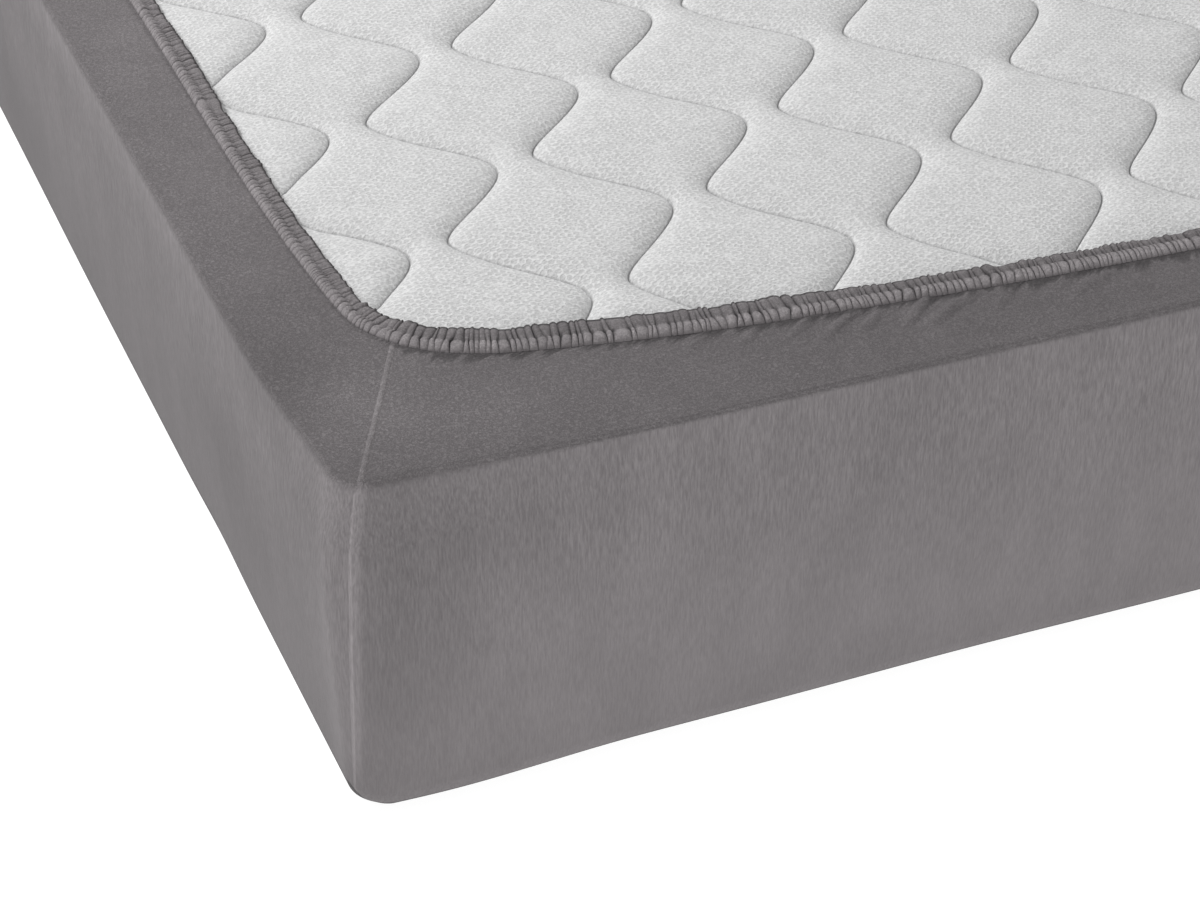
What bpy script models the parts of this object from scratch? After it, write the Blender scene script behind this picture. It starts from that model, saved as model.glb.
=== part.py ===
# A fitted sheet with an elastic edge, pulled over the mattress it fits. The mattress lies underside up:
# the sheet covers the face on the floor and the four sides, and turns over onto the upward face.
# X runs along the short sides, Y along the long sides, Z up. The origin is on the floor, at the middle.

import math

import bmesh
import bpy
from mathutils import Vector
from mathutils.geometry import interpolate_bezier

# Driving sizes, in metres
MATTRESS_WIDTH = 1.40
MATTRESS_LENGTH = 2.00
MATTRESS_HEIGHT = 0.265
CLOTH = 0.002  # thickness of the sheet's jersey
GAP = 0.0003  # left between pieces that touch

FLOOR_EDGE_RADIUS = 0.020  # round of the edge along the floor
TOP_EDGE_RADIUS = 0.014  # round of the edge that the sheet turns over
BORDER_BULGE = 0.003  # how far the sides swell at mid height
LONG_SIDE_LEAN = 0.011  # how much further in the long sides stand at the floor than at the top
CORNER_RADIUS_LOW = 0.030  # upright corners in plan, near the floor
CORNER_RADIUS_HIGH = 0.054  # the same at the top, where the elastic draws the corner in

FLOOR_EDGE_STEPS = 5
WALL_STEPS = 4
TOP_EDGE_STEPS = 4
TURN_IN_STEPS = 3  # rings of the cloth that lies on the upward face
CORNER_STEPS = 8  # steps round one corner, in every ring
SHORT_SIDE_POINTS = 9  # points between two corners along X, an odd number
LONG_SIDE_POINTS = 11  # the same along Y

# How far the cloth's elastic edge lies in from each side. It lies deepest near the corners and eases out
# along the side: inset = middle + extra * exp((start - distance from the corner) / fade). The corner's bend
# begins at start, and aims at the place that lies aim nearer to the corner on the same curve
EDGE_ON_SHORT_SIDE = {"middle": 0.062, "extra": 0.057, "start": 0.165, "fade": 0.23, "aim": 0.050}
EDGE_ON_LONG_SIDE = {"middle": 0.063, "extra": 0.013, "start": 0.200, "fade": 0.11, "aim": 0.040}
EDGE_WAVER = 0.0012  # unevenness of the edge
EDGE_WAVES = 9  # wavers round the whole edge

BAND_WIDTH = 0.017
BAND_HEIGHT = 0.006
BAND_STEPS = 6  # steps over the band's rounded back
BAND_FULLNESS = 0.6  # 1 is a round back, less is squarer

# The quilted face swells up inside the band
PANEL_SWELL = (
    {"inward": 0.0, "rise": 0.0},
    {"inward": 0.012, "rise": 0.003},
    {"inward": 0.060, "rise": 0.005},
    {"inward": 0.200, "rise": 0.006},
)

FLOOR_FACE_Z = CLOTH + GAP  # the mattress's face that lies on the sheet's bottom panel
TOP_FACE_Z = FLOOR_FACE_Z + MATTRESS_HEIGHT

JERSEY_COLOUR = (0.205, 0.188, 0.194)
TICKING_COLOUR = (0.72, 0.72, 0.72)


def clear_scene():
    for thing in list(bpy.data.objects):
        bpy.data.objects.remove(thing, do_unlink=True)


def make_material(name, colour, roughness):
    material = bpy.data.materials.new(name)
    material.use_nodes = True
    shader = material.node_tree.nodes["Principled BSDF"]
    shader.inputs["Base Color"].default_value = (*colour, 1.0)
    shader.inputs["Roughness"].default_value = roughness
    shader.inputs["Metallic"].default_value = 0.0
    return material


def side_stations(reach, count):
    # places on one half of a side, out from its middle, closer together towards the corner
    half = count // 2
    return [reach * math.sin(math.pi / 2 * (i + 1) / (half + 1)) for i in range(half)]


def whole_ring(quarter, z):
    # quarter runs from the middle of the front side to the middle of the right side, both middles included
    front, right = quarter[0], quarter[-1]
    bend = quarter[1:-1]
    ring = [front, *bend, right]
    ring += [Vector((p.x, -p.y)) for p in reversed(bend)]
    ring += [-front]
    ring += [-p for p in bend]
    ring += [-right]
    ring += [Vector((-p.x, p.y)) for p in reversed(bend)]
    return [Vector((p.x, p.y, z)) for p in ring]


def side_ring(inset, corner_radius, z):
    # the mattress's outline, drawn in by inset, with its corners rounded about centres that stay put
    height_share = min(max((z - FLOOR_FACE_Z) / MATTRESS_HEIGHT, 0), 1)
    half_width = MATTRESS_WIDTH / 2 - LONG_SIDE_LEAN * (1 - height_share)
    half_length = MATTRESS_LENGTH / 2
    centre = Vector((half_width - corner_radius, corner_radius - half_length))
    radius = corner_radius - inset
    quarter = [Vector((0, inset - half_length))]
    quarter += [Vector((x, inset - half_length)) for x in side_stations(centre.x, SHORT_SIDE_POINTS)]
    for i in range(CORNER_STEPS + 1):
        angle = math.pi / 2 * i / CORNER_STEPS
        quarter.append(centre + radius * Vector((math.sin(angle), -math.cos(angle))))
    along = side_stations(-centre.y, LONG_SIDE_POINTS)
    quarter += [Vector((half_width - inset, -y)) for y in reversed(along)]
    quarter.append(Vector((half_width - inset, 0)))
    return whole_ring(quarter, z)


def edge_inset(rule, distance):
    return rule["middle"] + rule["extra"] * math.exp((rule["start"] - distance) / rule["fade"])


def on_short_side(x):
    inset = edge_inset(EDGE_ON_SHORT_SIDE, MATTRESS_WIDTH / 2 - x)
    return Vector((x, inset - MATTRESS_LENGTH / 2))


def on_long_side(y):
    inset = edge_inset(EDGE_ON_LONG_SIDE, MATTRESS_LENGTH / 2 - y)
    return Vector((MATTRESS_WIDTH / 2 - inset, -y))


def edge_ring(z):
    # outline of the cloth's elastic edge, on the upward face
    reach_x = MATTRESS_WIDTH / 2 - EDGE_ON_SHORT_SIDE["start"]
    reach_y = MATTRESS_LENGTH / 2 - EDGE_ON_LONG_SIDE["start"]
    bend = interpolate_bezier(
        on_short_side(reach_x),
        on_short_side(reach_x + EDGE_ON_SHORT_SIDE["aim"]),
        on_long_side(reach_y + EDGE_ON_LONG_SIDE["aim"]),
        on_long_side(reach_y),
        CORNER_STEPS + 1,
    )
    quarter = [on_short_side(0)]
    quarter += [on_short_side(x) for x in side_stations(reach_x, SHORT_SIDE_POINTS)]
    quarter += [p.to_2d() for p in bend]
    quarter += [on_long_side(y) for y in reversed(side_stations(reach_y, LONG_SIDE_POINTS))]
    quarter.append(on_long_side(0))
    ring = whole_ring(quarter, z)
    waver = [EDGE_WAVER * math.sin(EDGE_WAVES * math.atan2(p.y, p.x)) for p in ring]
    return [p + inward * shift for p, inward, shift in zip(ring, inward_directions(ring), waver)]


def inward_directions(ring):
    directions = []
    for i in range(len(ring)):
        along = (ring[(i + 1) % len(ring)] - ring[i - 1]).normalized()
        directions.append(Vector((-along.y, along.x, 0)))
    return directions


def drawn_in(ring, inward, rise):
    # the ring scaled towards the middle until its sides lie further in
    half_width = max(p.x for p in ring)
    half_length = max(p.y for p in ring)
    scale_x = 1 - inward / half_width
    scale_y = 1 - inward / half_length
    return [Vector((p.x * scale_x, p.y * scale_y, p.z + rise)) for p in ring]


def section(outset):
    # rings from the bottom face, round the floor edge, up the sides and over the top edge, all lying
    # outset away from the mattress's own surface
    floor_centre_z = FLOOR_FACE_Z + FLOOR_EDGE_RADIUS
    top_centre_z = TOP_FACE_Z - TOP_EDGE_RADIUS
    rings = []
    for i in range(FLOOR_EDGE_STEPS + 1):
        angle = math.pi / 2 * i / FLOOR_EDGE_STEPS
        reach = FLOOR_EDGE_RADIUS + outset
        inset = FLOOR_EDGE_RADIUS - reach * math.sin(angle)
        rings.append(side_ring(inset, CORNER_RADIUS_LOW, floor_centre_z - reach * math.cos(angle)))
    for i in range(1, WALL_STEPS):
        share = i / WALL_STEPS
        inset = -outset - BORDER_BULGE * math.sin(math.pi * share)
        corner_radius = CORNER_RADIUS_LOW + (CORNER_RADIUS_HIGH - CORNER_RADIUS_LOW) * share
        z = floor_centre_z + (top_centre_z - floor_centre_z) * share
        rings.append(side_ring(inset, corner_radius, z))
    for i in range(TOP_EDGE_STEPS + 1):
        angle = math.pi / 2 * i / TOP_EDGE_STEPS
        reach = TOP_EDGE_RADIUS + outset
        inset = TOP_EDGE_RADIUS - reach * math.cos(angle)
        rings.append(side_ring(inset, CORNER_RADIUS_HIGH, top_centre_z + reach * math.sin(angle)))
    return rings


def loft(name, rings, base_z, floor_face=False, top_face=False, closed_section=False):
    # a skin through the rings, with the object's origin at the height base_z
    bm = bmesh.new()
    rows = [[bm.verts.new(p - Vector((0, 0, base_z))) for p in ring] for ring in rings]
    pairs = list(zip(rows, rows[1:]))
    if closed_section:
        pairs.append((rows[-1], rows[0]))
    for lower, upper in pairs:
        for i in range(len(lower)):
            bm.faces.new((lower[i - 1], lower[i], upper[i], upper[i - 1]))
    if floor_face:
        bm.faces.new(reversed(rows[0]))
    if top_face:
        bm.faces.new(rows[-1])
    mesh = bpy.data.meshes.new(name)
    bm.to_mesh(mesh)
    bm.free()
    mesh.shade_smooth()
    mesh.set_sharp_from_angle(angle=math.radians(40))
    thing = bpy.data.objects.new(name, mesh)
    thing.location.z = base_z
    return thing


def build_mattress():
    cloth_edge = edge_ring(TOP_FACE_Z)
    reach = BAND_WIDTH + 2 * GAP
    band_inner = [p + inward * reach for p, inward in zip(cloth_edge, inward_directions(cloth_edge))]
    rings = section(0)
    rings += [drawn_in(band_inner, row["inward"], row["rise"]) for row in PANEL_SWELL]
    return loft("mattress", rings, FLOOR_FACE_Z, floor_face=True, top_face=True)


def build_sheet():
    cloth_edge = edge_ring(TOP_FACE_Z + GAP)
    rings = section(GAP)
    turn = rings[-1]
    for i in range(1, TURN_IN_STEPS + 1):
        share = i / TURN_IN_STEPS
        rings.append([a.lerp(b, share) for a, b in zip(turn, cloth_edge)])
    sheet = loft("fitted_sheet", rings, 0, floor_face=True)
    thickness = sheet.modifiers.new("Cloth thickness", "SOLIDIFY")
    thickness.thickness = CLOTH
    thickness.offset = 1
    thickness.use_even_offset = True
    return sheet


def build_band():
    # a flat-bottomed strip with a rounded back, just inside the cloth's edge
    cloth_edge = edge_ring(TOP_FACE_Z + GAP)
    directions = inward_directions(cloth_edge)
    rings = []
    for i in range(BAND_STEPS + 1):
        angle = math.pi * i / BAND_STEPS
        reach = GAP + BAND_WIDTH * (1 - math.cos(angle)) / 2
        rise = Vector((0, 0, BAND_HEIGHT * abs(math.sin(angle)) ** BAND_FULLNESS))
        rings.append([p + inward * reach + rise for p, inward in zip(cloth_edge, directions)])
    return loft("elastic_band", rings, TOP_FACE_Z + GAP, closed_section=True)


def main():
    clear_scene()
    collection = bpy.data.collections.new("fitted_sheet_on_mattress")
    bpy.context.scene.collection.children.link(collection)
    base = bpy.data.objects.new("base", None)
    collection.objects.link(base)
    jersey = make_material("grey_jersey", JERSEY_COLOUR, 0.9)
    ticking = make_material("white_ticking", TICKING_COLOUR, 0.85)
    pieces = (
        (build_mattress(), ticking),
        (build_sheet(), jersey),
        (build_band(), jersey),
    )
    for piece, material in pieces:
        piece.data.materials.append(material)
        piece.parent = base
        collection.objects.link(piece)


main()
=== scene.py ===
# A grey jersey fitted sheet on the mattress it fits. The mattress lies underside up, so that the sheet's
# gathered elastic edge shows. X runs along the short sides, Y along the long ones, Z up, in metres.

import math

import bmesh
import bpy
import numpy as np
from mathutils import Matrix


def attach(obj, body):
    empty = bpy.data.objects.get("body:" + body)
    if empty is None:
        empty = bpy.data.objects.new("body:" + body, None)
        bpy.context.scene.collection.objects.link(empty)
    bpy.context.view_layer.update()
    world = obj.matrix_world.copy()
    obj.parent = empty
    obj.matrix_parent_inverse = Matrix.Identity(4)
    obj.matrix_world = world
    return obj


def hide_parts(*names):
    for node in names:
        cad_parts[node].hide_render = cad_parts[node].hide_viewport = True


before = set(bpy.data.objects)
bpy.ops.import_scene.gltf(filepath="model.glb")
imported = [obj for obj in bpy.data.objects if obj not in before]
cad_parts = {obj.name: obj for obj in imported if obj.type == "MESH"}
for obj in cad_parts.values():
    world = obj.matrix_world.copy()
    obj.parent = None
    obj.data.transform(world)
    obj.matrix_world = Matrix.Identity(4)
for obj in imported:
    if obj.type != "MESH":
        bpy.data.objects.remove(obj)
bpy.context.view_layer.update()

# the mattress's outline, which the sheet and the elastic follow
block = {
    "width": 1.40,
    "length": 2.00,
    "floorFace": 0.0023,  # the face that lies on the sheet's bottom panel
    "topFace": 0.2673,
    "floorEdgeRadius": 0.020,
    "topEdgeRadius": 0.014,
    "sideSwell": 0.003,  # the sides swell by this much at mid height
    "longSideLean": 0.0095,  # the long sides stand this much further in at the floor
    "cornerLow": 0.030,  # round of the upright corners near the floor
    "cornerHigh": 0.054,  # and at the top
    "slack": 0.0003,  # left between pieces that touch
    # how far the cloth draws the upper edge in, on the short and the long sides: all along, how much
    # more at the corners, and how soon that fades
    "drawnIn": ((0.0010, 0.0065, 0.12), (-0.0010, 0.0085, 0.09)),
    "drawnInFrom": 0.215,
    # low down the front and the left side swell and dip a little: middle, reach, how far out
    "frontSwells": ((-0.62, 0.075, 0.0045), (-0.22, 0.12, -0.0020)),
    "leftSwells": ((-0.30, 0.20, 0.0008), (-0.67, 0.06, -0.0012)),
    "frontStep": (-0.56, -0.48, 0.0010),  # from here to there the front steps in by this much
    "swellsEnd": (0.03, 0.14),  # heights between which all this fades
}

# how far the sheet's gathered edge lies in from each side, deepest near the corners
hem = {
    "shortSide": {"middle": 0.062, "extra": 0.057, "start": 0.165, "fade": 0.23, "aim": 0.050},
    "longSide": {"middle": 0.063, "extra": 0.013, "start": 0.200, "fade": 0.11, "aim": 0.040},
    "waver": 0.0012,
    "wavers": 9,
}


# ---- camera, floor and light

studio = {
    "stands": (-1.1365, -2.4681, 1.3782),
    "heading": 22.787,  # degrees from the long sides' direction towards the right
    "down": 35.05,
    "roll": 0.797,
    "lens": 91.072,
    "skyLight": 0.42,
    "floorGlow": 0.92,
    "floorColour": (0.35, 0.35, 0.35, 1),
    # power, size, place and what it is aimed at; the strip stands in front, lower than the mattress's top
    "lamps": {
        "windowLight": (106, (1.4, 1.4), (-2.5, 1.7, 3.3), (-0.1, -0.5, 0.27)),
        "lowStrip": (43, (2.8, 0.2), (-0.9, -4.2, 0.13), (-0.2, -1.0, 0.13)),
    },
}


def aimed(fromPoint, atPoint):
    # the turn that points a lamp's or camera's -Z at a place
    direction = np.subtract(atPoint, fromPoint)
    flat = math.hypot(direction[0], direction[1])
    heading = math.atan2(direction[0], direction[1])
    tilt = math.pi / 2 + math.atan2(direction[2], flat)
    turn = Matrix.Rotation(-heading, 4, "Z") @ Matrix.Rotation(tilt, 4, "X")
    return Matrix.Translation(fromPoint) @ turn


def addLamp(name, power, size, fromPoint, atPoint):
    lamp = bpy.data.lights.new(name, "AREA")
    lamp.shape = "RECTANGLE"
    lamp.energy = power
    lamp.size, lamp.size_y = size
    thing = bpy.data.objects.new(name, lamp)
    thing.matrix_world = aimed(fromPoint, atPoint)
    bpy.context.scene.collection.objects.link(thing)


def setUpStudio():
    scene = bpy.context.scene
    scene.view_settings.view_transform = "Standard"
    camera = bpy.data.objects.new("studioCamera", bpy.data.cameras.new("studioCamera"))
    camera.data.lens = studio["lens"]
    camera.data.sensor_width = 36
    camera.data.clip_end = 80
    turn = Matrix.Rotation(-math.radians(studio["heading"]), 4, "Z")
    turn = turn @ Matrix.Rotation(math.radians(90 - studio["down"]), 4, "X")
    turn = turn @ Matrix.Rotation(math.radians(studio["roll"]), 4, "Z")
    camera.matrix_world = Matrix.Translation(studio["stands"]) @ turn
    scene.collection.objects.link(camera)
    scene.camera = camera

    world = bpy.data.worlds.new("softStudio")
    world.use_nodes = True
    world.node_tree.nodes["Background"].inputs["Color"].default_value = (1, 1, 1, 1)
    world.node_tree.nodes["Background"].inputs["Strength"].default_value = studio["skyLight"]
    scene.world = world

    for name, settings in studio["lamps"].items():
        addLamp(name, *settings)

    bm = bmesh.new()
    bmesh.ops.create_grid(bm, x_segments=2, y_segments=2, size=18)
    mesh = bpy.data.meshes.new("studioFloor")
    bm.to_mesh(mesh)
    bm.free()
    floor = bpy.data.objects.new("studioFloor", mesh)
    paper = bpy.data.materials.new("whitePaper")
    paper.use_nodes = True
    shader = paper.node_tree.nodes["Principled BSDF"]
    shader.inputs["Base Color"].default_value = studio["floorColour"]
    shader.inputs["Roughness"].default_value = 1.0
    shader.inputs["Specular IOR Level"].default_value = 0.0
    shader.inputs["Emission Color"].default_value = (1, 1, 1, 1)
    shader.inputs["Emission Strength"].default_value = studio["floorGlow"]
    mesh.materials.append(paper)
    scene.collection.objects.link(floor)


setUpStudio()
print("camera, floor and light are set up")


# ---- helpers for cloth

def eased(value, low, high):
    share = np.clip((value - low) / (high - low), 0, 1)
    return share * share * (3 - 2 * share)


def easedNoise(place, knots, seed):
    # smooth unevenness along a closed edge; place runs once round it from 0 to 1
    values = np.random.default_rng(seed).uniform(-1, 1, knots)
    spot = np.mod(place, 1) * knots
    low = np.floor(spot).astype(int)
    share = eased(spot - low, 0, 1)
    return values[low % knots] * (1 - share) + values[(low + 1) % knots] * share


def lumps(across, up, size, seed):
    # smooth unevenness over a face, with lumps of about this size in metres
    values = np.random.default_rng(seed).uniform(-1, 1, (97, 89))
    a, b = across / size + 300, up / size + 300
    lowA, lowB = np.floor(a).astype(int), np.floor(b).astype(int)
    shareA, shareB = eased(a - lowA, 0, 1), eased(b - lowB, 0, 1)
    corner = lambda i, j: values[(lowA + i) % 97, (lowB + j) % 89]
    near = corner(0, 0) * (1 - shareA) + corner(1, 0) * shareA
    far = corner(0, 1) * (1 - shareA) + corner(1, 1) * shareA
    return near * (1 - shareB) + far * shareB


def swells(place, rows):
    return sum(rise * np.exp(-(((place - middle) / reach) ** 2)) for middle, reach, rise in rows)


def clothGrid(name, columns, rows, points):
    # a flat grid laid on rows by columns of points
    bm = bmesh.new()
    bmesh.ops.create_grid(bm, x_segments=columns, y_segments=rows, size=1)
    mesh = bpy.data.meshes.new(name)
    bm.to_mesh(mesh)
    bm.free()
    places = np.zeros(len(mesh.vertices) * 3, np.float32)
    mesh.vertices.foreach_get("co", places)
    places = places.reshape(-1, 3)
    column = np.rint((places[:, 0] + 1) / 2 * columns).astype(int)
    row = np.rint((places[:, 1] + 1) / 2 * rows).astype(int)
    mesh.vertices.foreach_set("co", points[row, column].astype(np.float32).ravel())
    return mesh, row, column


def addMap(mesh, name, across, along):
    # a UV map that holds two numbers for each point
    uvMap = mesh.uv_layers.new(name=name)
    loops = np.zeros(len(mesh.loops), np.int32)
    mesh.loops.foreach_get("vertex_index", loops)
    spots = np.stack([across, along], axis=-1)[loops]
    uvMap.data.foreach_set("uv", spots.astype(np.float32).ravel())


def finished(name, mesh, material):
    thing = bpy.data.objects.new(name, mesh)
    bpy.context.scene.collection.objects.link(thing)
    mesh.materials.clear()
    mesh.materials.append(material)
    mesh.shade_smooth()
    return thing


def sideStations(length, count, reach):
    # shares of half a side from its middle to its corner, in steps that grow away from the corner
    fine = np.linspace(0, 1, 4001)
    density = 1 / (1 + ((1 - fine) * length / reach) ** 3)
    total = np.concatenate([[0], np.cumsum((density[1:] + density[:-1]) / 2)])
    return np.interp(np.linspace(0, total[-1], count + 1), total, fine)


def ringColumns(quarters, pinch=0.3):
    # columns round the whole mattress, from the middle of the front side and back to it; each quarter
    # has its steps along the short side, round the corner and along the long side
    columns = []
    for number, (shortSteps, cornerSteps, longSteps) in enumerate(quarters):
        shortHalf = sideStations(block["width"] / 2, shortSteps, 0.7)
        longHalf = sideStations(block["length"] / 2, longSteps, 0.7)[::-1]
        swing = np.linspace(-1, 1, cornerSteps + 1)
        bend = 0.5 + 0.5 * (pinch * swing + (1 - pinch) * swing**3)
        tx = np.concatenate([shortHalf[:-1], np.ones(cornerSteps + 1), np.ones(longSteps)])
        ty = np.concatenate([np.ones(shortSteps), np.ones(cornerSteps + 1), longHalf[1:]])
        bend = np.concatenate([np.zeros(shortSteps), bend, np.ones(longSteps)])
        signX = np.full(len(tx), 1.0 if number < 2 else -1.0)
        signY = np.full(len(tx), 1.0 if number in (1, 2) else -1.0)
        quarter = np.stack([tx, ty, bend, signX, signY])
        columns.append(quarter[:, :-1] if number % 2 == 0 else quarter[:, :0:-1])
    columns.append(quarter[:, :1])
    return dict(zip(("tx", "ty", "bend", "signX", "signY"), np.concatenate(columns, axis=1)))


def turned(ring, share):
    # the same ring with the middle of each corner, where the seam is, moved to this share of the bend
    lean = share / (1 - share)
    bend = ring["bend"] * lean / (1 - ring["bend"] + ring["bend"] * lean)
    return {**ring, "bend": bend}


def outline(ring, inset, corner, z):
    # the mattress's outline at height z, drawn in by inset, with its corners rounded
    heightShare = np.clip((z - block["floorFace"]) / (block["topFace"] - block["floorFace"]), 0, 1)
    reachX = block["width"] / 2 - block["longSideLean"] * (1 - heightShare) - corner
    reachY = block["length"] / 2 - corner
    angle = ring["bend"] * math.pi / 2
    x = ring["signX"] * (ring["tx"] * reachX + (corner - inset) * np.sin(angle))
    y = ring["signY"] * (ring["ty"] * reachY + (corner - inset) * np.cos(angle))
    low = 1 - eased(z, *block["swellsEnd"])
    start, end, depth = block["frontStep"]
    front = swells(x, block["frontSwells"]) - depth * eased(x, start, end)
    left = swells(y, block["leftSwells"])
    y = y - low * front * (1 - ring["bend"]) * (ring["signY"] < 0)
    x = x - low * left * ring["bend"] * (ring["signX"] < 0)
    return np.stack([x, y, z + 0 * x], axis=-1)


def fromCorner(ring):
    # how far each column stands from its corner, along the side
    return np.where(
        ring["ty"] < 1, (1 - ring["ty"]) * block["length"] / 2, (1 - ring["tx"]) * block["width"] / 2
    )


def drawnIn(ring, z):
    apart = fromCorner(ring)
    onShort, onLong = (
        base + more * np.exp(-((apart / fade) ** 2)) for base, more, fade in block["drawnIn"]
    )
    return np.where(ring["ty"] >= 1, onShort, onLong) * eased(z, block["drawnInFrom"], block["topFace"])


def hemInset(rule, distance):
    return rule["middle"] + rule["extra"] * np.exp((rule["start"] - distance) / rule["fade"])


def hemOnShortSide(x):
    return np.stack([x, hemInset(hem["shortSide"], block["width"] / 2 - x) - block["length"] / 2], axis=-1)


def hemOnLongSide(y):
    return np.stack([block["width"] / 2 - hemInset(hem["longSide"], block["length"] / 2 - y), -y], axis=-1)


def hemPoints(ring):
    # the sheet's gathered edge in plan: along a short side, round the bend, along a long side
    reachX = block["width"] / 2 - hem["shortSide"]["start"]
    reachY = block["length"] / 2 - hem["longSide"]["start"]
    a = hemOnShortSide(np.array(reachX))
    b = hemOnShortSide(np.array(reachX + hem["shortSide"]["aim"]))
    c = hemOnLongSide(np.array(reachY + hem["longSide"]["aim"]))
    d = hemOnLongSide(np.array(reachY))
    t = ring["bend"][:, None]
    bend = a * (1 - t) ** 3 + 3 * b * t * (1 - t) ** 2 + 3 * c * t * t * (1 - t) + d * t**3
    short = hemOnShortSide(ring["tx"] * reachX)
    long = hemOnLongSide(ring["ty"] * reachY)
    plan = np.where(ring["bend"][:, None] <= 0, short, np.where(ring["bend"][:, None] >= 1, long, bend))
    plan = plan * np.stack([ring["signX"], -ring["signY"]], axis=-1)
    inward = inwardOf(plan)
    waver = hem["waver"] * np.sin(hem["wavers"] * np.arctan2(plan[:, 1], plan[:, 0]))
    return plan + inward * waver[:, None]


def inwardOf(plan):
    # square to a closed line, towards the middle; its last point is its first again
    ahead = np.concatenate([plan[1:], plan[1:2]])
    behind = np.concatenate([plan[-2:-1], plan[:-1]])
    along = ahead - behind
    along /= np.linalg.norm(along, axis=1)[:, None]
    return np.stack([-along[:, 1], along[:, 0]], axis=-1)


def lengthAlong(line):
    return np.concatenate([[0], np.cumsum(np.linalg.norm(np.diff(line, axis=0), axis=1))])


hemRing = ringColumns([(1200, 600, 1600)] * 4, pinch=1.0)
hemLine = hemPoints(hemRing)
hemLength = lengthAlong(hemLine)
hemAround = hemLength[-1]
hemInward = inwardOf(hemLine)


def onHem(along):
    # place and inward direction at a length along the gathered edge
    place = np.stack([np.interp(along, hemLength, hemLine[:, k]) for k in (0, 1)], axis=-1)
    inward = np.stack([np.interp(along, hemLength, hemInward[:, k]) for k in (0, 1)], axis=-1)
    return place, inward / np.linalg.norm(inward, axis=-1)[..., None]


# ---- materials

def addNode(tree, kind, inputs=None, **settings):
    node = tree.nodes.new("ShaderNode" + kind)
    for name, value in settings.items():
        setattr(node, name, value)
    for key, value in (inputs or {}).items():
        socket = node.inputs[key]
        if isinstance(value, bpy.types.NodeSocket):
            tree.links.new(value, socket)
        else:
            socket.default_value = value
    return node


def sums(tree, operation, *values):
    return addNode(tree, "Math", dict(enumerate(values)), operation=operation).outputs[0]


def times(tree, first, second):
    return sums(tree, "MULTIPLY", first, second)


def plus(tree, first, second):
    return sums(tree, "ADD", first, second)


def newMaterial(name):
    material = bpy.data.materials.new(name)
    material.use_nodes = True
    return material, material.node_tree, material.node_tree.nodes["Principled BSDF"]


def ranged(tree, value, low, high, toLow=0.0, toHigh=1.0, smooth=True):
    inputs = {"Value": value, "From Min": low, "From Max": high, "To Min": toLow, "To Max": toHigh}
    style = "SMOOTHSTEP" if smooth else "LINEAR"
    return addNode(tree, "MapRange", inputs, interpolation_type=style).outputs["Result"]


def noise(tree, vector, scale, detail=2.0, roughness=0.5, distortion=0.0):
    inputs = {"Vector": vector, "Scale": scale, "Detail": detail, "Roughness": roughness}
    return addNode(tree, "TexNoise", {**inputs, "Distortion": distortion}).outputs["Fac"]


def scaled(tree, vector, share):
    return addNode(tree, "VectorMath", {0: vector, 3: share}, operation="SCALE").outputs[0]


def darkened(tree, colour, share):
    return scaled(tree, colour, sums(tree, "SUBTRACT", 1.0, share))


def stretched(tree, vector, factors):
    return addNode(tree, "VectorMath", {0: vector, 1: factors}, operation="MULTIPLY").outputs[0]


def mapped(tree, name):
    # the two numbers of a UV map
    spot = addNode(tree, "UVMap", uv_map=name).outputs["UV"]
    apart = addNode(tree, "SeparateXYZ", {0: spot})
    return spot, apart.outputs["X"], apart.outputs["Y"]


def mixed(tree, factor, first, second):
    return addNode(tree, "Mix", {"Factor": factor, 6: first, 7: second}, data_type="RGBA").outputs[2]


def upPart(tree, vector):
    return addNode(tree, "SeparateXYZ", {0: vector}).outputs["Z"]


jerseyLook = {
    "dark": (0.146, 0.135, 0.139, 1),
    "light": (0.214, 0.200, 0.204, 1),
    "streaks": 800,
    "speckle": 620,
    "seam": 1.25,  # how much lighter the cloth over a seam is painted: the stretched cloth, with a painted highlight on it
    "seamHighlight": (0.0009, 0.0020),  # it fades from here to here beside the seam
    # the painted shadow line where the sides turn under: the heights between which it fades out upwards,
    # how dark it is, where it fades in from below, and how much lower it all lies on the short sides
    "lowerShadowLine": (0.0220, 0.0234, 0.60),
    "shadowLineFoot": (0.0125, 0.0150),
    "lowerOnShort": 0.0116,
    # the painted shadow under the gathered edge: how dark, its share of that on the long sides, the fingers
    # it ends in (per metre), its least reach, and how much further they reach on the long and the short
    # sides
    "underBand": 0.45,
    "underOnLong": 0.40,
    "fingers": (30, 115, 0),
    "fingerReach": (0.0056, 0.0040, 0.0130),
    "besideFold": (0.0026, 0.0048, 0.09),  # a painted shade beside the short sides' fold, from, to, how dark
    "valley": 0.86,  # how dark the painted shade between the gathers' crests is
    "frillEdgeDark": (0.64, 0.48),  # how dark the frill's edge is on the short and on the long sides
}


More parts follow.
